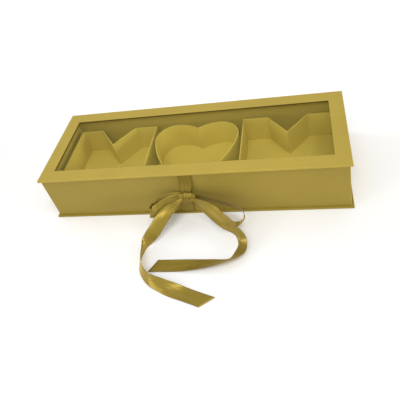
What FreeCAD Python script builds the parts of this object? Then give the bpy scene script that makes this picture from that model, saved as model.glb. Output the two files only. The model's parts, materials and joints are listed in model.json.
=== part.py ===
import FreeCAD, Part
import math, os

# A rigid presentation box for cut flowers, all sizes in millimetres. A board base, spine and
# windowed lid are joined by covering paper. A board tray stands on the base and holds three open
# card letters on a raised insert. A satin ribbon hangs from the lid, is tied in a bow in front of
# the tray and ends in the seam above the base.
# The origin is under the middle of the base, on the surface that the box stands on. X runs along
# the length, the front faces -Y and +Z is up.

# Cover
case_length = 480.0
case_depth = 167.0
case_height = 88.0
cover_board = 2.5
paper = 0.2
lip = 3.5
board_edge_radius = 0.4
base_turn_in = 15.0
lid_turn_in = 12.0
frame_border = 22.5
film_thickness = 0.2
film_lap = 8.0
liner_margin = 2.0
liner_window_margin = 0.5
hinge_strip_height = 10.0

# Tray and insert
tray_board = 2.0
glue_gap = 0.5
tray_flange = 12.0
lid_gap = 0.2
insert_board_thickness = 6.0
insert_clearance = 0.3

# Letters
letter_card = 1.5
letter_wall_height = 48.0
floor_card = 1.2
floor_clearance = 0.2
letter_pitch = 151.0
letter_width = 147.0
letter_depth = 133.0
letter_shift_back = 0.5
leg_width = 44.0
upper_notch_width = 64.0
upper_notch_depth = 40.5
lower_notch_height = 35.0
heart_crown_radius = 65.0
heart_lobe_radius = 34.0
heart_lobe_spacing = 76.0
heart_lobe_y = 31.5
heart_tip_y = -74.0
heart_side_angle = 10.0

# Ribbon
ribbon_width = 20.0
ribbon_thickness = 0.4
gathered_width = 11.0
gather_length = 25.0
slant_length = 25.0
left_tail_slant = 15.4
right_tail_slant = 12.0
knot_gap = 0.3
sections_per_span = 5
upper_tab_length = 10.0
lower_tab_length = 30.0
slot_clearance = 0.2
strand_gap = 1.6
bend_radius = 1.0
knot_x = -1.0
knot_forward = 5.5
knot_z = 44.0
knot_sides = 8
# Distance from the knot's middle along X, half its depth and half its height there
knot_profile = [(0.0, 5.6, 10.2), (5.5, 5.4, 10.0), (6.5, 4.8, 8.8), (9.5, 4.2, 7.4),
                (13.0, 2.2, 4.4)]
upper_strand_x = 3.0
lower_strand_x = -8.0
knot_inset = 1.2
# Share of the height to the knot, share of the way over to it, share of the ribbon's width
strand_shape = [(0.12, 0, 1), (0.3, 0.06, 1), (0.5, 0.25, 0.96), (0.68, 0.6, 0.86),
                (0.8, 0.85, 0.7), (1, 1, 0.5)]

# Heights, from the surface that the box stands on
base_top = 2 * paper + cover_board
tray_underside = base_top + glue_gap
tray_board_z = tray_underside + paper
insert_z = tray_board_z + tray_board
platform_z = insert_z + insert_board_thickness + paper
lid_board_z = case_height - paper - cover_board
lid_wrap_z = lid_board_z - paper
lid_liner_z = lid_wrap_z - paper
rim_z = lid_liner_z - lid_gap

# Half lengths along X and places along Y
half_length = case_length / 2
half_depth = case_depth / 2
tray_end = half_length - lip
tray_front = lip - half_depth
spine_outer = half_depth - paper
spine_board_back = spine_outer - paper
spine_board_front = spine_board_back - cover_board
tray_back = spine_board_front - paper
window_x = half_length - frame_border
window_y = half_depth - frame_border
strand_y = tray_front - strand_gap - ribbon_thickness / 2
knot_y = -half_depth - knot_forward


def block(x0, x1, y0, y1, z0, z1):
    return Part.makeBox(x1 - x0, y1 - y0, z1 - z0, FreeCAD.Vector(x0, y0, z0))


def rounded_block(x0, x1, y0, y1, z0, z1, radius, lower, upper):
    """A block with its upright edges rounded, and its lower or upper edges where asked."""
    solid = block(x0, x1, y0, y1, z0, z1)
    edges = []
    for edge in solid.Edges:
        low, high = sorted(vertex.Z for vertex in edge.Vertexes)
        upright = high - low > radius
        at_bottom = high - z0 < radius
        at_top = z1 - low < radius
        if upright or (at_bottom and lower) or (at_top and upper):
            edges.append(edge)
    return solid.makeFillet(radius, edges)


def save(name, shape):
    solids = shape.Solids
    if len(solids) != 1 or not shape.isValid():
        print("check", name, "solids", len(solids), "valid", shape.isValid())
    shape.exportStep("parts/" + name + ".step")


# Base
def base_board():
    x = half_length - paper
    y = half_depth - paper
    return rounded_block(-x, x, -y, y, paper, paper + cover_board, board_edge_radius, True, True)


def base_wrap():
    radius = board_edge_radius + paper
    x, y = half_length, half_depth
    skin = rounded_block(-x, x, -y, y, 0, base_top, radius, True, True)
    x -= base_turn_in
    y -= base_turn_in
    opening = block(-x, x, -y, y, paper + cover_board, base_top)
    return skin.cut([base_board(), opening])


# Spine
def spine_board():
    x = half_length - paper
    return block(-x, x, spine_board_front, spine_board_back, base_top, rim_z - paper)


def spine_wrap():
    x = half_length
    skin = block(-x, x, spine_board_front, spine_outer, base_top, rim_z)
    return skin.cut(spine_board())


def spine_liner():
    return block(-tray_end, tray_end, tray_back, spine_board_front, tray_underside, rim_z)


def lid_hinge_strip():
    bottom = lid_wrap_z - hinge_strip_height
    return block(-half_length, half_length, spine_outer, half_depth, bottom, lid_wrap_z)


# Lid
def lid_frame_board():
    x = half_length - paper
    y = half_depth - paper
    top = lid_board_z + cover_board
    plate = rounded_block(-x, x, -y, y, lid_board_z, top, board_edge_radius, False, True)
    x = window_x + paper
    y = window_y + paper
    return plate.cut(block(-x, x, -y, y, lid_board_z, top))


def ribbon_slot():
    """The room that the ribbon's upper tab takes in the lid's lower layers."""
    half = ribbon_width / 2 + slot_clearance
    front = strand_y - ribbon_thickness / 2 - slot_clearance
    back = strand_y + upper_tab_length + slot_clearance
    x = upper_strand_x
    return block(x - half, x + half, front, back, lid_liner_z, lid_board_z)


def lid_wrap():
    radius = board_edge_radius + paper
    x, y = half_length, half_depth
    skin = rounded_block(-x, x, -y, y, lid_wrap_z, case_height, radius, False, True)
    window = block(-window_x, window_x, -window_y, window_y, lid_wrap_z, case_height)
    x -= lid_turn_in
    y -= lid_turn_in
    opening = block(-x, x, -y, y, lid_wrap_z, lid_board_z)
    return skin.cut([lid_frame_board(), window, opening, ribbon_slot()])


def lid_liner():
    x = half_length - liner_margin
    y = half_depth - liner_margin
    sheet = block(-x, x, -y, y, lid_liner_z, lid_wrap_z)
    x = window_x + liner_window_margin
    y = window_y + liner_window_margin
    window = block(-x, x, -y, y, lid_liner_z, lid_wrap_z)
    return sheet.cut([window, ribbon_slot()])


def window_film():
    x = window_x + film_lap
    y = window_y + film_lap
    return block(-x, x, -y, y, lid_board_z - film_thickness, lid_board_z)


# Tray
def tray_envelope(inset, bottom, top):
    """The tray's outer block with rounded upright edges, drawn in all round by the inset."""
    x = tray_end - inset
    radius = board_edge_radius + paper - inset
    return rounded_block(-x, x, tray_front + inset, tray_back - inset, bottom, top, radius,
                         False, False)


def tray_room(inset, bottom, top):
    """A plain block inside the tray, the inset away from the tray's outer faces."""
    x = tray_end - inset
    return block(-x, x, tray_front + inset, tray_back - inset, bottom, top)


def tray_walls():
    inset = paper + tray_board
    top = rim_z - paper
    return tray_envelope(paper, tray_board_z, top).cut(tray_room(inset, tray_board_z, top))


def tray_long_wall(outer, inner):
    y0, y1 = sorted((outer, inner))
    return tray_walls().common(block(-tray_end, tray_end, y0, y1, tray_board_z, rim_z))


def tray_end_wall(side):
    inset = paper + tray_board
    x0, x1 = sorted((side * tray_end, side * (tray_end - inset)))
    span = block(x0, x1, tray_front + inset, tray_back - inset, tray_board_z, rim_z)
    return tray_walls().common(span)


def tray_wrap():
    """The covering paper: outside, over the rim, down to the insert and a flange underneath."""
    inset = paper + tray_board
    below_insert = tray_room(inset, tray_board_z, platform_z)
    above_insert = tray_room(inset + paper, platform_z, rim_z)
    opening = tray_room(tray_flange, tray_underside, tray_board_z)
    skin = tray_envelope(0, tray_underside, rim_z)
    return skin.cut([tray_walls(), below_insert, above_insert, opening])


# Insert
def insert_sheet(bottom, top):
    return tray_room(paper + tray_board + insert_clearance, bottom, top)


# Letters
def polygon(points, z):
    corners = [FreeCAD.Vector(x, y, z) for x, y in points]
    return Part.makePolygon(corners + corners[:1])


def draw_in(points, distance):
    """Move each side of a closed outline, listed anticlockwise, inwards by the distance."""
    count = len(points)
    result = []
    for i in range(count):
        (ax, ay), (bx, by), (cx, cy) = points[i - 1], points[i], points[(i + 1) % count]
        first = math.atan2(by - ay, bx - ax)
        second = math.atan2(cy - by, cx - bx)
        half_turn = (second - first) / 2
        normal = (first + second) / 2 + math.pi / 2
        reach = distance / math.cos(half_turn)
        result.append((bx + reach * math.cos(normal), by + reach * math.sin(normal)))
    return result


def letter_m_outline():
    """The letter M about its own centre, anticlockwise from the front left corner."""
    side = letter_width / 2
    leg = side - leg_width
    front = letter_shift_back - letter_depth / 2
    back = letter_shift_back + letter_depth / 2
    notch = upper_notch_width / 2
    return [(-side, front), (-leg, front), (-leg, front + lower_notch_height), (0, front),
            (leg, front + lower_notch_height), (leg, front), (side, front), (side, back),
            (notch, back), (0, back - upper_notch_depth), (-notch, back), (-side, back)]


def letter_m(inset, bottom, height, shift):
    wire = polygon(draw_in(letter_m_outline(), inset), bottom)
    prism = Part.Face(wire).extrude(FreeCAD.Vector(0, 0, height))
    prism.translate(FreeCAD.Vector(shift, 0, 0))
    return prism


def heart(inset, bottom, height):
    """A heart: on each side a flat crown arc, a tight lobe arc and a long side arc, all tangent."""
    angle = math.radians(heart_side_angle)
    across, down = math.cos(angle), -math.sin(angle)
    lobe_x = heart_lobe_spacing / 2
    rise = heart_lobe_y - heart_tip_y
    along = lobe_x * across + rise * down
    radius = heart_lobe_radius
    side_radius = (lobe_x ** 2 + rise ** 2 + 2 * radius * along + radius ** 2) \
        / (2 * (along + radius))
    side_x = lobe_x - (side_radius - radius) * across
    side_y = heart_lobe_y - (side_radius - radius) * down
    crown_y = heart_lobe_y + radius - heart_crown_radius
    radius -= inset
    side_radius -= inset
    crown_radius = heart_crown_radius - inset
    cusp = (0, crown_y + math.sqrt(crown_radius ** 2 - lobe_x ** 2))
    middle_x = lobe_x / 2
    crown = (middle_x, crown_y + math.sqrt(crown_radius ** 2 - middle_x ** 2))
    top = (lobe_x, heart_lobe_y + radius)
    diagonal = radius * math.sqrt(0.5)
    lobe = (lobe_x + diagonal, heart_lobe_y + diagonal)
    join = (lobe_x + radius * across, heart_lobe_y + radius * down)
    tip = (0, side_y - math.sqrt(side_radius ** 2 - side_x ** 2))
    start = math.atan2(join[1] - side_y, join[0] - side_x)
    end = math.atan2(tip[1] - side_y, tip[0] - side_x)
    middle = (start + end) / 2
    bulge = (side_x + side_radius * math.cos(middle), side_y + side_radius * math.sin(middle))
    edges = []
    for side in (1, -1):
        for points in ((cusp, crown, top), (top, lobe, join), (join, bulge, tip)):
            corners = [FreeCAD.Vector(side * x, y, bottom) for x, y in points]
            edges.append(Part.Arc(*corners).toShape())
    wire = Part.Wire(Part.__sortEdges__(edges))
    return Part.Face(wire).extrude(FreeCAD.Vector(0, 0, height))


def letters():
    """The upright walls and the floors of the three letters, by name."""
    pieces = {}
    floor_inset = letter_card + floor_clearance
    for side, shift in (("left", -letter_pitch), ("right", letter_pitch)):
        outer = letter_m(0, platform_z, letter_wall_height, shift)
        inner = letter_m(letter_card, platform_z, letter_wall_height, shift)
        pieces[side + "_letter_wall"] = outer.cut(inner)
        pieces[side + "_letter_floor"] = letter_m(floor_inset, platform_z, floor_card, shift)
    outer = heart(0, platform_z, letter_wall_height)
    inner = heart(letter_card, platform_z, letter_wall_height)
    pieces["heart_wall"] = outer.cut(inner)
    pieces["heart_floor"] = heart(floor_inset, platform_z, floor_card)
    return pieces


# Ribbon. A station is the x, y, z of the ribbon's middle and its lean in degrees, where y starts at
# the lid's front edge. At lean 0 the ribbon is flat and at lean 90 it stands on edge.
left_tail_route = [(-5, -9.9, 47.4, -46), (-27.7, -32.6, 38.4, -2), (-48.5, -50, 23.5, 52),
                   (-64, -67.5, 11, 90), (-64, -97.5, 10, 112), (-49, -119.5, 10, 115),
                   (-24, -130.5, 7, 137), (6, -138.5, 1.5, 177), (40, -149.5, 0.7, 178)]
right_tail_route = [(7, -6.5, 39, 80), (29, -18.5, 23.5, 90), (49, -28.5, 11, 103),
                    (71, -43, 11, 102), (81.5, -59, 8, 131), (79.5, -75, 5.5, 152),
                    (66, -89.5, 7.5, 134), (36, -93.5, 5, 155), (-5, -94.5, 1.2, 177),
                    (-47, -95, 0.8, 178)]
left_loop_route = [(-5, -5.5, 46.5, 65), (-26, -11.5, 42.8, 66), (-41, -24, 42.3, 76),
                   (-49.6, -32.5, 43.8, 82), (-52.5, -31.5, 45, 81), (-48.5, -22.5, 43.5, 97),
                   (-39, -14, 44, 110), (-23, -7.5, 45, 115), (-4, -3, 46, 117)]
right_loop_route = [(6, -9.5, 46, 70), (39.5, -27, 39, 108), (60.5, -42.5, 34, 103),
                    (74.5, -47.5, 31, 73), (85, -41.5, 31, 67), (84.5, -26.5, 33, 100),
                    (68.5, -15, 34, 112), (39.5, -7.5, 37, 111), (4, -3, 45, 103)]


def curve_through(stations, count):
    """Points of a smooth curve through the stations, with the count of steps in each span."""
    first = [2 * a - b for a, b in zip(stations[0], stations[1])]
    last = [2 * a - b for a, b in zip(stations[-1], stations[-2])]
    rows = [first] + [list(row) for row in stations] + [last]
    points = []
    for k in range(1, len(rows) - 2):
        a, b, c, d = rows[k - 1:k + 3]
        for step in range(count):
            t = step / count
            points.append([0.5 * (2 * q + (r - p) * t + (2 * p - 5 * q + 4 * r - s) * t ** 2
                                  + (3 * q - p - 3 * r + s) * t ** 3)
                           for p, q, r, s in zip(a, b, c, d)])
    points.append(list(stations[-1]))
    return points


def ease(share):
    """A step from 0 to 1 that starts and ends level."""
    share = min(max(share, 0), 1)
    return share ** 2 * (3 - 2 * share)


def strip(left_edge, right_edge):
    """A closed thin solid between two edges, each a list of points."""
    half = ribbon_thickness / 2
    middle = [(a + b) * 0.5 for a, b in zip(left_edge, right_edge)]
    sections = []
    for k, (a, b) in enumerate(zip(left_edge, right_edge)):
        ahead = middle[min(k + 1, len(middle) - 1)] - middle[max(k - 1, 0)]
        normal = ahead.cross(b - a)
        normal.multiply(half / normal.Length)
        corners = [a + normal, b + normal, b - normal, a - normal]
        sections.append(Part.makePolygon(corners + corners[:1]))
    return Part.makeLoft(sections, True, True)


def ribbon(route, slant, closed):
    """A ribbon that starts gathered in the knot and ends free and slanted, or in the knot again."""
    points = curve_through(route, sections_per_span)
    middle = [FreeCAD.Vector(x, y - half_depth, z) for x, y, z, lean in points]
    travelled = [0.0]
    for a, b in zip(middle, middle[1:]):
        travelled.append(travelled[-1] + (b - a).Length)
    total = travelled[-1]
    gather = 1 - gathered_width / ribbon_width
    left_edge, right_edge = [], []
    for k, point in enumerate(points):
        ahead = middle[min(k + 1, len(middle) - 1)] - middle[max(k - 1, 0)]
        ahead.normalize()
        level = FreeCAD.Vector(ahead.y, -ahead.x, 0).normalize()
        rising = level.cross(ahead)
        lean = math.radians(point[3])
        across = level * math.cos(lean) + rising * math.sin(lean)
        to_end = total - travelled[k]
        share = 1 - gather * (1 - ease(travelled[k] / gather_length))
        if closed:
            share *= 1 - gather * (1 - ease(to_end / gather_length))
        slanted = max(0, 1 - to_end / slant_length) * slant / 2
        reach = across * (share * ribbon_width / 2) + ahead * slanted
        left_edge.append(middle[k] - reach)
        right_edge.append(middle[k] + reach)
    return strip(left_edge, right_edge)


def knot(grown):
    """The tied knot, a faceted body that is fullest in the middle, grown by a clearance."""
    rows = [(-place, half_y, half_z) for place, half_y, half_z in reversed(knot_profile[1:])]
    sections = []
    for place, half_y, half_z in rows + knot_profile:
        if place:
            place += math.copysign(grown, place)
        corners = []
        for side in range(knot_sides):
            angle = 2 * math.pi * (side + 0.5) / knot_sides
            corners.append(FreeCAD.Vector(knot_x + place,
                                          knot_y + (half_y + grown) * math.cos(angle),
                                          knot_z + (half_z + grown) * math.sin(angle)))
        sections.append(Part.makePolygon(corners + corners[:1]))
    return Part.makeLoft(sections, True, True)


def out_of_knot(shape):
    """What shows of a ribbon outside the knot, from just off the knot's surface."""
    pieces = shape.cut(knot(knot_gap)).Solids
    return max(pieces, key=lambda piece: piece.Volume)


def strand(x, z, tab_length, turn):
    """A strand between the knot and the tab that holds it, which lies level at the height z.

    The turn is -1 where the strand goes down from its tab and 1 where it goes up.
    """
    mid_bend = bend_radius * (1 - math.sqrt(0.5))
    path = [(x, strand_y + tab_length, z, ribbon_width),
            (x, strand_y + bend_radius, z, ribbon_width),
            (x, strand_y + mid_bend, z + turn * mid_bend, ribbon_width),
            (x, strand_y, z + turn * bend_radius, ribbon_width)]
    for share, over, width_share in strand_shape:
        path.append((x + over * (knot_x - x), strand_y + over * (knot_y + knot_inset - strand_y),
                     z + share * (knot_z - z), width_share * ribbon_width))
    left_edge = [FreeCAD.Vector(x - width / 2, y, z) for x, y, z, width in path]
    right_edge = [FreeCAD.Vector(x + width / 2, y, z) for x, y, z, width in path]
    return out_of_knot(strip(left_edge, right_edge))


def upper_strand():
    """Glued in the lid's lower layers, then down in front of the tray and into the knot."""
    return strand(upper_strand_x, lid_liner_z + ribbon_thickness / 2, upper_tab_length, -1)


def lower_strand():
    """Out of the knot, down in front of the tray and back into the seam above the base."""
    return strand(lower_strand_x, base_top + glue_gap / 2, lower_tab_length, 1)


def ribbons():
    return {
        "ribbon_upper_strand": upper_strand(),
        "ribbon_lower_strand": lower_strand(),
        "bow_knot": knot(0),
        "bow_loop_left": out_of_knot(ribbon(left_loop_route, 0, True)),
        "bow_loop_right": out_of_knot(ribbon(right_loop_route, 0, True)),
        "bow_tail_left": out_of_knot(ribbon(left_tail_route, left_tail_slant, False)),
        "bow_tail_right": out_of_knot(ribbon(right_tail_route, right_tail_slant, False)),
    }


def box_pieces():
    inset = paper + tray_board
    return {
        "base_board": base_board(),
        "base_wrap": base_wrap(),
        "spine_board": spine_board(),
        "spine_wrap": spine_wrap(),
        "spine_liner": spine_liner(),
        "lid_hinge_strip": lid_hinge_strip(),
        "lid_frame_board": lid_frame_board(),
        "lid_wrap": lid_wrap(),
        "lid_liner": lid_liner(),
        "window_film": window_film(),
        "tray_bottom": tray_room(inset, tray_board_z, insert_z),
        "tray_front_wall": tray_long_wall(tray_front, tray_front + inset),
        "tray_back_wall": tray_long_wall(tray_back, tray_back - inset),
        "tray_left_wall": tray_end_wall(-1),
        "tray_right_wall": tray_end_wall(1),
        "tray_wrap": tray_wrap(),
        "insert_board": insert_sheet(insert_z, platform_z - paper),
        "insert_wrap": insert_sheet(platform_z - paper, platform_z),
    }


for pieces in (box_pieces(), letters(), ribbons()):
    for name, shape in pieces.items():
        save(name, shape)
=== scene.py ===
import bpy
import json
import math
from mathutils import Matrix, Vector


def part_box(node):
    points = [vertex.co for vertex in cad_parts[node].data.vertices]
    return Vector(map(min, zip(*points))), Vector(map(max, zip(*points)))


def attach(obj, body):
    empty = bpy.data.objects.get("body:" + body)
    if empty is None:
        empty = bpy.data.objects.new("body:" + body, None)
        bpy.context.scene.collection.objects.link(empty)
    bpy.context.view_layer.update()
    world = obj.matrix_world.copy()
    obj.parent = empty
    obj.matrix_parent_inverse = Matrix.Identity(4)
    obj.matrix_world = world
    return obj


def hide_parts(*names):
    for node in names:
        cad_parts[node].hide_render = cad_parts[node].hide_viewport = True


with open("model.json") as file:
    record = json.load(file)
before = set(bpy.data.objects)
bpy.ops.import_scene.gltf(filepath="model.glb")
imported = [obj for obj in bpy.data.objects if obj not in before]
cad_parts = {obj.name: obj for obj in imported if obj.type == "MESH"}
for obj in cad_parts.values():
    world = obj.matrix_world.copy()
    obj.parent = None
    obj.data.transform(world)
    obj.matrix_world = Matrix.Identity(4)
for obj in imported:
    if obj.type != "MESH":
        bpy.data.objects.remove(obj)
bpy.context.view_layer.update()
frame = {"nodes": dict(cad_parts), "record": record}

MM = 0.001

# Camera, as found from the box's corners in the photograph
image_size = 400
focal_pixels = 464.55
centre_pixel = (192.045, 118.799)
camera_azimuth = 0.3296
camera_elevation = 0.6447
camera_roll = -0.2874
camera_distance = 921.518 * MM
camera_target = Vector((-40.427, 154.776, 0)) * MM
sensor_width = 36

# Floor, in metres
floor_half = 6.0
floor_drop = 0.0002
floor_colour = (0.92, 0.92, 0.92)

# Light. A sun is its name, its strength, its spread in degrees and the side that it stands on.
sky_strength = 0.77
suns = [("over", 0.65, 16, Vector((0.3, -0.28, 0.91))),
        ("front", 0.5, 16, Vector((-0.8, -0.55, 0.28))),
        ("right", 1.3, 16, Vector((0.97, -0.2, 0.16))),
        ("left", 1.1, 16, Vector((-0.95, 0.22, 0.17)))]
softbox_power = 0.2
softbox_size = (0.5, 0.2)
softbox_spread = 40
softbox_place = Vector((0, -0.62, 0.82))
softbox_target = Vector((0, 0, 0.05))

# Colours, linear
gold_paper = (0.38, 0.28, 0.052)
# The letters' card is lighter than the cover paper: painted light inside the box
lit_gold_card = (0.6, 0.47, 0.087)
gold_satin = (0.3, 0.214, 0.031)
# The base paper is darker than the cover paper: painted shade on the base plate
shaded_base_gold = (0.27, 0.2, 0.033)
# Factor for the darker satin on some ribbon pieces: painted shade
satin_shade_factor = 0.84
# The tray's inside and the insert are lighter than the cover paper: painted light inside the box
inside_light_tone = 1.15
insert_light_tone = 1.7
# The tray's outside is darker than its inside: painted shade
outside_shade_tone = 0.66
grey_board = (0.36, 0.34, 0.30)
film_tint = (0.41, 0.345, 0.06)

# Window and paper laps, in metres
film_lap = 0.008
window_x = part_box("window_film")[1][0] - film_lap
window_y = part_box("window_film")[1][1] - film_lap
paper_lap = 0.014
outside_margin = 0.001

# Ribbon, in millimetres: the same stations as the solids have, apart from the left tail's first
# three. A station is the x, y, z of the ribbon's middle and its lean in degrees, where y starts at
# the lid's front edge.
front_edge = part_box("lid_wrap")[0][1] / MM
ribbon_width = 20.0
ribbon_thickness = 0.35
gathered_width = 11.0
gather_length = 25.0
slant_length = 25.0
left_tail_slant = 15.4
right_tail_slant = 12.0
left_tail_route = [(-5, -9.9, 47.4, -22), (-29.3, -30.8, 39.9, 18), (-49, -51.2, 23.1, 51),
                   (-64, -67.5, 11, 90), (-64, -97.5, 10, 112), (-49, -119.5, 10, 115),
                   (-24, -130.5, 7, 137), (6, -138.5, 1.5, 177), (40, -149.5, 0.7, 178)]
right_tail_route = [(7, -6.5, 39, 80), (29, -18.5, 23.5, 90), (49, -28.5, 11, 103),
                    (71, -43, 11, 102), (81.5, -59, 8, 131), (79.5, -75, 5.5, 152),
                    (66, -89.5, 7.5, 134), (36, -93.5, 5, 155), (-5, -94.5, 1.2, 177),
                    (-47, -95, 0.8, 178)]
left_loop_route = [(-5, -5.5, 46.5, 65), (-26, -11.5, 42.8, 66), (-41, -24, 42.3, 76),
                   (-49.6, -32.5, 43.8, 82), (-52.5, -31.5, 45, 81), (-48.5, -22.5, 43.5, 97),
                   (-39, -14, 44, 110), (-23, -7.5, 45, 115), (-4, -3, 46, 117)]
right_loop_route = [(6, -9.5, 46, 70), (39.5, -27, 39, 108), (60.5, -42.5, 34, 103),
                    (74.5, -47.5, 31, 73), (85, -41.5, 31, 67), (84.5, -26.5, 33, 100),
                    (68.5, -15, 34, 112), (39.5, -7.5, 37, 111), (4, -3, 45, 103)]
knot_middle = Vector((-1, front_edge - 5.5, 44))
# Distance from the knot's middle along X, half its depth and half its height there
knot_profile = [(-15, 1.4, 3.2), (-11, 4.4, 6.6), (-7, 5.4, 8.2), (0, 4.8, 8.2), (6, 5.2, 8.2),
                (10, 4.2, 6.4), (14, 1.4, 3.0)]
wrap_half_depth = 5.9
wrap_half_height = 10.4
wrap_width = 9.5
wrap_tilt = 14
strand_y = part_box("tray_wrap")[0][1] / MM - 1.8
upper_strand_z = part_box("lid_liner")[0][2] / MM + 0.2
lower_strand_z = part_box("base_wrap")[1][2] / MM + 0.25
# Pieces given a darker, rougher satin: the darker colour is painted shade
shaded_ribbon_pieces = ("ribbon_upper_strand", "ribbon_lower_strand", "bow_loop_left")
upper_strand_x = 3.0
lower_strand_x = -8.0
upper_tab_length = 10.0
lower_tab_length = 30.0
# Share of the height to the knot, share of the way over to it, share of the ribbon's width
strand_shape = [(0.12, 0, 1), (0.3, 0.06, 1), (0.5, 0.25, 0.96), (0.68, 0.6, 0.86),
                (0.8, 0.85, 0.7), (1, 1, 0.5)]
steps_per_span = 12
steps_across = 24


# Camera, floor and light
def add_camera():
    azimuth, elevation = camera_azimuth, camera_elevation
    back = Vector((math.sin(azimuth) * math.cos(elevation),
                   -math.cos(azimuth) * math.cos(elevation), math.sin(elevation)))
    level = Vector((math.cos(azimuth), math.sin(azimuth), 0))
    rising = back.cross(level)
    right = level * math.cos(camera_roll) + rising * math.sin(camera_roll)
    up = back.cross(right)
    data = bpy.data.cameras.new("camera")
    camera = bpy.data.objects.new("camera", data)
    bpy.context.collection.objects.link(camera)
    camera.matrix_world = Matrix.Translation(camera_target + back * camera_distance) \
        @ Matrix((right, up, back)).transposed().to_4x4()
    data.sensor_width = sensor_width
    data.lens = focal_pixels / image_size * sensor_width
    data.shift_x = (image_size / 2 - centre_pixel[0]) / image_size
    data.shift_y = (centre_pixel[1] - image_size / 2) / image_size
    data.clip_start = 0.01
    data.clip_end = 20
    bpy.context.scene.camera = camera


def add_sun(name, strength, spread, place):
    data = bpy.data.lights.new(name, "SUN")
    data.energy = strength
    data.angle = math.radians(spread)
    light = bpy.data.objects.new(name, data)
    bpy.context.collection.objects.link(light)
    light.location = place
    light.rotation_mode = "QUATERNION"
    light.rotation_quaternion = place.to_track_quat("Z", "Y")


def add_softbox():
    """A softbox with a grid, aimed through the window at the letters."""
    data = bpy.data.lights.new("softbox", "AREA")
    data.shape = "RECTANGLE"
    data.size, data.size_y = softbox_size
    data.energy = softbox_power
    data.spread = math.radians(softbox_spread)
    light = bpy.data.objects.new("softbox", data)
    bpy.context.collection.objects.link(light)
    light.location = softbox_place
    light.rotation_mode = "QUATERNION"
    light.rotation_quaternion = (softbox_place - softbox_target).to_track_quat("Z", "Y")


def add_sky():
    world = bpy.data.worlds.new("studio")
    world.use_nodes = True
    background = world.node_tree.nodes["Background"]
    background.inputs["Color"].default_value = (1, 1, 1, 1)
    background.inputs["Strength"].default_value = sky_strength
    bpy.context.scene.world = world


def add_floor():
    half = floor_half
    mesh = bpy.data.meshes.new("floor")
    mesh.from_pydata([(-half, -half, 0), (half, -half, 0), (half, half, 0), (-half, half, 0)],
                     [], [(0, 1, 2, 3)])
    floor = bpy.data.objects.new("floor", mesh)
    bpy.context.collection.objects.link(floor)
    mesh.materials.append(Look("floor", floor_colour, 0.6).material)
    floor.location.z = -floor_drop


# Materials
class Look:
    """A material with helpers that add its nodes."""

    def __init__(self, name, colour, roughness):
        self.material = bpy.data.materials.new(name)
        self.material.use_nodes = True
        self.nodes = self.material.node_tree.nodes
        self.links = self.material.node_tree.links
        self.shader = self.nodes["Principled BSDF"]
        self.set("Base Color", (*colour, 1))
        self.set("Roughness", roughness)

    def set(self, name, value):
        self.shader.inputs[name].default_value = value

    def feed(self, name, output):
        self.links.new(output, self.shader.inputs[name])

    def node(self, kind, **inputs):
        """A node with its inputs set, or linked where the value is another node's output."""
        node = self.nodes.new("ShaderNode" + kind)
        for name, value in inputs.items():
            socket = node.inputs[name.replace("_", " ")]
            if isinstance(value, bpy.types.NodeSocket):
                self.links.new(value, socket)
            else:
                socket.default_value = value
        return node

    def math(self, operation, first, second=0.0):
        node = self.nodes.new("ShaderNodeMath")
        node.operation = operation
        for socket, value in zip(node.inputs, (first, second)):
            if isinstance(value, bpy.types.NodeSocket):
                self.links.new(value, socket)
            else:
                socket.default_value = value
        return node.outputs[0]

    def place(self):
        """The place in the frame, in metres, as separate X, Y and Z."""
        return self.node("SeparateXYZ", Vector=self.node("TexCoord").outputs["Object"]).outputs

    def noise(self, scale, detail=2.0, stretch=(1, 1, 1), source=None):
        if source is None:
            source = self.node("TexCoord").outputs["Object"]
        stretched = self.node("Mapping", Vector=source, Scale=stretch).outputs["Vector"]
        return self.node("TexNoise", Vector=stretched, Scale=scale, Detail=detail).outputs["Fac"]

    def step(self, value, low, high):
        """Rises smoothly from 0 at the low value to 1 at the high one."""
        node = self.node("MapRange", Value=value)
        node.interpolation_type = "SMOOTHSTEP"
        node.inputs["From Min"].default_value = low
        node.inputs["From Max"].default_value = high
        return node.outputs["Result"]

    def range(self, value, low, high, first, last):
        node = self.node("MapRange", Value=value)
        for name, number in (("From Min", low), ("From Max", high), ("To Min", first),
                             ("To Max", last)):
            node.inputs[name].default_value = number
        return node.outputs["Result"]

    def mix(self, factor, first, second):
        node = self.nodes.new("ShaderNodeMix")
        node.data_type = "RGBA"
        self.links.new(factor, node.inputs["Factor"])
        for name, colour in (("A", first), ("B", second)):
            socket = [s for s in node.inputs if s.name == name and s.type == "RGBA"][0]
            if isinstance(colour, bpy.types.NodeSocket):
                self.links.new(colour, socket)
            else:
                socket.default_value = (*colour, 1)
        return [s for s in node.outputs if s.type == "RGBA"][0]

    def bump(self, height, distance, strength, normal=None):
        node = self.node("Bump", Height=height, Distance=distance, Strength=strength)
        if normal is not None:
            self.links.new(normal, node.inputs["Normal"])
        return node.outputs["Normal"]


def shade(colour, factor):
    return tuple(value * factor for value in colour)


def near_edge(look, lowest, highest):
    """The distance inside a box's nearest edge, in metres: the second least of three depths."""
    depths = []
    for axis, value in enumerate(look.place()):
        middle = (lowest[axis] + highest[axis]) / 2
        half = (highest[axis] - lowest[axis]) / 2
        offset = look.math("ABSOLUTE", look.math("SUBTRACT", value, middle))
        depths.append(look.math("SUBTRACT", half, offset))
    a, b, c = depths
    larger = look.math("MAXIMUM", a, b)
    return look.math("MINIMUM", larger, look.math("MAXIMUM", look.math("MINIMUM", a, b), c))


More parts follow.
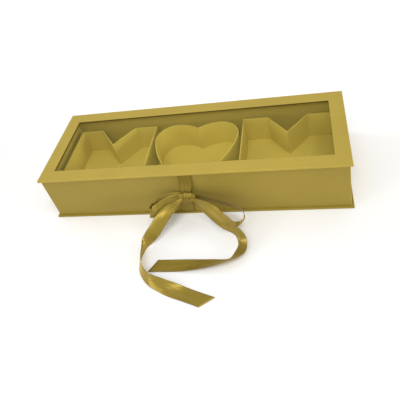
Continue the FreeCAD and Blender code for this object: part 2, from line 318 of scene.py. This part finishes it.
def paper_look(name, colour, worn_boxes=(), window=False, laps=(), outer=None):
    """Covering paper: faint clouding, long fibres, fine grain, rubbed edges and glued laps, and
    with window set a painted shade along the window's inner edge.

    The outer pair gives where the darker outside starts (painted shade), as a distance along X and
    a place along Y.
    """
    look = Look(name, colour, 0.5)
    x, y = look.place()[:2]
    clouds = look.step(look.noise(11, 3), 0.3, 0.7)
    fibres = look.math("MULTIPLY", look.step(look.noise(1500, 3, (0.12, 1, 1)), 0.52, 0.72), 0.35)

    def with_fibres(tone):
        mixed = look.mix(clouds, shade(tone, 0.95), shade(tone, 1.04))
        return look.mix(fibres, mixed, shade(tone, 1.18))

    mixed = with_fibres(colour)
    if outer:
        # Darker on the outside faces: painted shade
        outside = look.math("MAXIMUM", look.math("SUBTRACT", look.math("ABSOLUTE", x), outer[0]),
                            look.math("SUBTRACT", outer[1], y))
        mixed = look.mix(look.step(outside, 0, 0.0005), mixed,
                         with_fibres(shade(colour, outside_shade_tone)))
    for lowest, highest in worn_boxes:
        rubbed = look.math("ADD", near_edge(look, lowest, highest),
                           look.range(look.noise(420, 3), 0.3, 0.7, -0.0004, 0.0006))
        worn = look.math("SUBTRACT", 1.0, look.step(rubbed, 0.0001, 0.0012))
        mixed = look.mix(look.math("MULTIPLY", worn, 0.4), mixed, shade(colour, 1.3))
    if window:
        # Darker along the window's inner edge: painted shade
        inside_x = look.step(look.math("ABSOLUTE", x), window_x + 0.0003, window_x + 0.0001)
        inside_y = look.step(look.math("ABSOLUTE", y), window_y + 0.0003, window_y + 0.0001)
        window_edge_shade = look.math("MULTIPLY", inside_x, inside_y)
        mixed = look.mix(look.math("MULTIPLY", window_edge_shade, 0.95), mixed, shade(colour, 0.25))
    look.feed("Base Color", mixed)
    waves = look.bump(look.noise(26, 1), 0.0006, 0.22)
    grain = look.bump(look.noise(2400, 4), 0.00004, 0.5, waves)
    for seam in laps:
        off = look.math("ABSOLUTE", look.math("SUBTRACT", look.math("ABSOLUTE", x), seam))
        ridge = look.step(off, 0.0008, 0.0001)
        grain = look.bump(ridge, 0.00012, 0.6, grain)
    look.feed("Normal", grain)
    look.feed("Roughness", look.range(clouds, 0, 1, 0.46, 0.56))
    look.set("Specular IOR Level", 0.2)
    look.set("Specular Tint", (1, 0.85, 0.4, 1))
    return look.material


def board_look(name, colour):
    """Grey recycled board with darker flecks."""
    look = Look(name, colour, 0.85)
    flecks = look.step(look.noise(900, 6), 0.35, 0.5)
    look.feed("Base Color", look.mix(flecks, shade(colour, 0.6), shade(colour, 1.1)))
    look.feed("Normal", look.bump(flecks, 0.0001, 0.5))
    return look.material


def film_look(name):
    look = Look(name, film_tint, 0.04)
    look.set("Alpha", 0.1)
    look.set("Specular IOR Level", 1)
    look.set("Specular Tint", (1, 0.86, 0.3, 1))
    look.feed("Normal", look.bump(look.noise(12, 1), 0.002, 0.1))
    return look.material


def satin_look(name, colour, roughness):
    """Satin ribbon: long shiny threads, a sheen across the ribbon and woven edges."""
    look = Look(name, colour, roughness)
    uv = look.node("UVMap").outputs["UV"]
    across = look.node("SeparateXYZ", Vector=uv).outputs["X"]
    threads = look.noise(1, 3, (5200, 160, 1), uv)
    mixed = look.mix(look.step(threads, 0.3, 0.7), shade(colour, 0.86), shade(colour, 1.16))
    cloud = look.step(look.noise(60, 2, (1, 1, 1), uv), 0.3, 0.7)
    mixed = look.mix(cloud, mixed, shade(colour, 0.97))
    to_edge = look.math("MINIMUM", across,
                        look.math("SUBTRACT", ribbon_width * MM, across))
    edge = look.step(to_edge, 0.0009, 0.0005)
    mixed = look.mix(look.math("MULTIPLY", edge, 0.6), mixed, shade(colour, 0.7))
    look.feed("Base Color", mixed)
    curl = look.bump(look.noise(1, 2, (95, 9, 1), uv), 0.0042, 0.8)
    weave = look.bump(threads, 0.00008, 0.35, curl)
    look.feed("Normal", look.bump(edge, 0.00015, 0.7, weave))
    tangent = look.nodes.new("ShaderNodeTangent")
    tangent.direction_type = "UV_MAP"
    look.feed("Tangent", tangent.outputs["Tangent"])
    look.set("Anisotropic", 0.85)
    look.set("Metallic", 0.5)
    look.set("Specular IOR Level", 0.7)
    look.set("Specular Tint", (1, 0.86, 0.5, 1))
    return look.material


# Ribbon
def curve_through(stations, count):
    """Points of a smooth curve through the stations, with the count of steps in each span."""
    first = [2 * a - b for a, b in zip(stations[0], stations[1])]
    last = [2 * a - b for a, b in zip(stations[-1], stations[-2])]
    rows = [first] + [list(row) for row in stations] + [last]
    points = []
    for k in range(1, len(rows) - 2):
        a, b, c, d = rows[k - 1:k + 3]
        for step in range(count):
            t = step / count
            points.append([0.5 * (2 * q + (r - p) * t + (2 * p - 5 * q + 4 * r - s) * t ** 2
                                  + (3 * q - p - 3 * r + s) * t ** 3)
                           for p, q, r, s in zip(a, b, c, d)])
    points.append(list(stations[-1]))
    return points


def ease(share):
    share = min(max(share, 0), 1)
    return share ** 2 * (3 - 2 * share)


def smooth_folds(share):
    """The depth of a ribbon's gathers where it is drawn in to a share of its width."""
    return (1 - share) * 2.4


def ribbon_rows(route, slant, closed):
    """Rows along a ribbon: its middle, reach to one edge, direction, fold depth and distance."""
    points = curve_through(route, steps_per_span)
    middle = [Vector((x, y + front_edge, z)) for x, y, z, lean in points]
    travelled = [0.0]
    for a, b in zip(middle, middle[1:]):
        travelled.append(travelled[-1] + (b - a).length)
    total = travelled[-1]
    gather = 1 - gathered_width / ribbon_width
    rows = []
    for k, point in enumerate(points):
        ahead = (middle[min(k + 1, len(middle) - 1)] - middle[max(k - 1, 0)]).normalized()
        level = Vector((ahead.y, -ahead.x, 0)).normalized()
        rising = level.cross(ahead)
        lean = math.radians(point[3])
        across = level * math.cos(lean) + rising * math.sin(lean)
        to_end = total - travelled[k]
        share = 1 - gather * (1 - ease(travelled[k] / gather_length))
        if closed:
            share *= 1 - gather * (1 - ease(to_end / gather_length))
        slanted = max(0, 1 - to_end / slant_length) * slant / 2
        reach = across * (share * ribbon_width / 2) + ahead * slanted
        rows.append((middle[k], reach, ahead, smooth_folds(share), travelled[k]))
    return rows


def strand_rows(x, z, tab_length, turn):
    """Rows of a strand from the tab that holds it, at the height z, to the knot."""
    path = [(x, strand_y + tab_length, z, 1), (x, strand_y + 1.2, z, 1),
            (x, strand_y + 0.3, z + turn * 0.3, 1), (x, strand_y, z + turn * 1.2, 1)]
    for share, over, width in strand_shape:
        path.append((x + over * (knot_middle.x - x),
                     strand_y + over * (knot_middle.y + 1 - strand_y),
                     z + share * (knot_middle.z - z), width))
    points = curve_through(path, steps_per_span)
    rows = []
    travelled = 0
    for k, (px, py, pz, share) in enumerate(points):
        middle = Vector((px, py, pz))
        if k:
            travelled += (middle - rows[-1][0]).length
        ahead = Vector(points[min(k + 1, len(points) - 1)][:3]) - Vector(points[max(k - 1, 0)][:3])
        rows.append((middle, Vector((share * ribbon_width / 2, 0, 0)), ahead.normalized(),
                     smooth_folds(share) + 0.12, travelled))
    return rows


def wrap_rows():
    """Rows of the band that goes round the knot."""
    tilt = Matrix.Rotation(math.radians(wrap_tilt), 3, "Y")
    steps = 72
    rows = []
    travelled = 0
    for k in range(steps + 1):
        angle = 2 * math.pi * k / steps
        reach = tilt @ Vector((wrap_width / 2 * (1 + 0.12 * math.cos(2 * angle + 0.6)), 0, 0))
        place = Vector((0, wrap_half_depth * math.cos(angle), wrap_half_height * math.sin(angle)))
        ahead = tilt @ Vector((0, -wrap_half_depth * math.sin(angle),
                               wrap_half_height * math.cos(angle))).normalized()
        middle = knot_middle + tilt @ place
        if k:
            travelled += (middle - rows[-1][0]).length
        rows.append((middle, reach, ahead, 1.0, travelled))
    return rows


def fold(u, phase):
    """The height of a ribbon's gathers across it, between -1 and 1, with sharp valleys."""
    wave = math.cos(3 * math.pi * u + phase) + 0.35 * math.cos(7 * math.pi * u - phase)
    return wave / 1.35


def ribbon_piece(name, rows, phase, body, node, material):
    """A thin ribbon mesh over the rows, with gathers that fade out away from the knot."""
    vertices, faces, uvs = [], [], []
    columns = steps_across + 1
    for side in (1, -1):
        for middle, reach, ahead, depth, travelled in rows:
            normal = reach.cross(ahead).normalized()
            for i in range(columns):
                u = 2 * i / steps_across - 1
                swing = phase + 0.03 * travelled
                height = depth * fold(u, swing) + side * ribbon_thickness / 2
                vertices.append((middle + reach * u + normal * height) * MM)
                uvs.append(((u + 1) / 2 * ribbon_width * MM, travelled * MM))
    layer = len(rows) * columns
    for r in range(len(rows) - 1):
        for i in range(steps_across):
            a = r * columns + i
            b = a + columns
            faces.append((a, a + 1, b + 1, b))
            faces.append((layer + a, layer + b, layer + b + 1, layer + a + 1))
        first = r * columns
        faces.append((first, first + columns, layer + first + columns, layer + first))
        last = first + steps_across
        faces.append((last, layer + last, layer + last + columns, last + columns))
    for first, order in ((0, 1), (layer - columns, -1)):
        for i in range(steps_across):
            a = first + i
            faces.append((a, layer + a, layer + a + 1, a + 1)[::order])
    return satin_piece(name, vertices, faces, uvs, body, node, material)


def satin_piece(name, vertices, faces, uvs, body, node, material):
    mesh = bpy.data.meshes.new(name)
    mesh.from_pydata(vertices, [], faces)
    uv_layer = mesh.uv_layers.new(name="UVMap")
    for loop in mesh.loops:
        uv_layer.data[loop.index].uv = uvs[loop.vertex_index]
    for polygon in mesh.polygons:
        polygon.use_smooth = True
    mesh.materials.append(material)
    piece = bpy.data.objects.new(name, mesh)
    bpy.context.collection.objects.link(piece)
    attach(piece, body)
    if node:
        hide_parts(node)
    return piece


def knot_core(material):
    """The folded layers inside the knot: a body with creases that run out to both sides."""
    around, along = 96, 40
    profile = curve_through(knot_profile, along // (len(knot_profile) - 1))
    vertices, faces, uvs = [], [], []
    for x, half_depth, half_height in profile:
        for k in range(around):
            angle = 2 * math.pi * k / around
            crease = abs(math.sin(3 * angle + 0.05 * x + 0.35 * math.sin(0.4 * x)))
            grown = 1 + 0.28 * (math.sqrt(crease) - 0.75)
            vertices.append((knot_middle + Vector((x, half_depth * grown * math.cos(angle),
                                                   half_height * grown * math.sin(angle)))) * MM)
            uvs.append((0.002 + 0.016 * abs(1 - 2 * k / around), x * MM))
    for r in range(len(profile) - 1):
        for k in range(around):
            a, b = r * around + k, r * around + (k + 1) % around
            faces.append((a, a + around, b + around, b))
    faces.append(tuple(range(around)))
    faces.append(tuple(range((len(profile) - 1) * around, len(profile) * around))[::-1])
    return satin_piece("satin_knot_core", vertices, faces, uvs, "box", "bow_knot", material)


def add_bow(material, shaded_satin_material):
    ribbons = [
        ("bow_loop_left", ribbon_rows(left_loop_route, 0, True), 0.0, "box", "laid"),
        ("bow_loop_right", ribbon_rows(right_loop_route, 0, True), 1.1, "box", "laid"),
        ("bow_tail_left",
         ribbon_rows(left_tail_route, left_tail_slant, False), 2.0, "box", "laid"),
        ("bow_tail_right",
         ribbon_rows(right_tail_route, right_tail_slant, False), 0.6, "box", "laid"),
        ("ribbon_upper_strand",
         strand_rows(upper_strand_x, upper_strand_z, upper_tab_length, -1), 0.4, "lid", "hung"),
        ("ribbon_lower_strand",
         strand_rows(lower_strand_x, lower_strand_z, lower_tab_length, 1), 1.7, "box", "hung")]
    for name, rows, phase, body, held in ribbons:
        piece = ribbon_piece("satin_" + name, rows, phase, body, name,
                             shaded_satin_material if name in shaded_ribbon_pieces else material)
    core = knot_core(material)
    rows = wrap_rows()
    wrap = ribbon_piece("satin_knot_wrap", rows, 0.9, "box", None, material)


def dress_solids(satin):
    """Gives each solid its finish, with the papers rubbed along the edges of their own boxes. The
    letter, tray-inside and insert papers are lighter than the cover paper, painted light; the base
    paper and the tray's outside are darker, painted shade.
    """
    paper = paper_look("cover_paper", gold_paper)
    looks = {"cover_paper": paper, "lining_paper": paper,
             "grey_board": board_look("grey_board", grey_board),
             # The letter card's lighter colour is painted light
             "letter_card": paper_look("letter_paper", lit_gold_card),
             "window_film": film_look("window_film"), "satin_ribbon": satin}
    tray_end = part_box("tray_wrap")[1][0]
    own = {
        # The lid paper has painted shade along the window's inner edge
        "lid_wrap": paper_look("lid_paper", gold_paper, [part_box("lid_wrap")], True),
        # The insert's lighter colour is painted light
        "insert_wrap": paper_look("insert_paper", shade(gold_paper, insert_light_tone)),
        # The base paper's darker colour is painted shade
        "base_wrap": paper_look("base_paper", shaded_base_gold, [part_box("base_wrap")]),
        # The tray paper's lighter colour is painted light inside the box
        "tray_wrap": paper_look("tray_paper", shade(gold_paper, inside_light_tone),
                                [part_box("tray_wrap")], False, [tray_end - paper_lap],
                                # Where the tray's darker outside starts: painted shade
                                (tray_end - outside_margin,
                                 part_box("tray_wrap")[0][1] + outside_margin)),
    }
    for entry in frame["record"]["subparts"]:
        name = entry["node"]
        node = frame["nodes"][name]
        node.data.materials.clear()
        node.data.materials.append(own.get(name, looks[entry["material_slot"]]))


add_camera()
add_sky()
add_floor()
for sun in suns:
    add_sun(*sun)
add_softbox()
satin = satin_look("satin", gold_satin, 0.33)
# A darker, rougher copy of the satin: its darker colour is painted shade
darker_satin_look = satin_look("satin_painted_shade", shade(gold_satin, satin_shade_factor), 0.46)
dress_solids(satin)
add_bow(satin, darker_satin_look)

bpy.context.scene.view_settings.view_transform = "Standard"
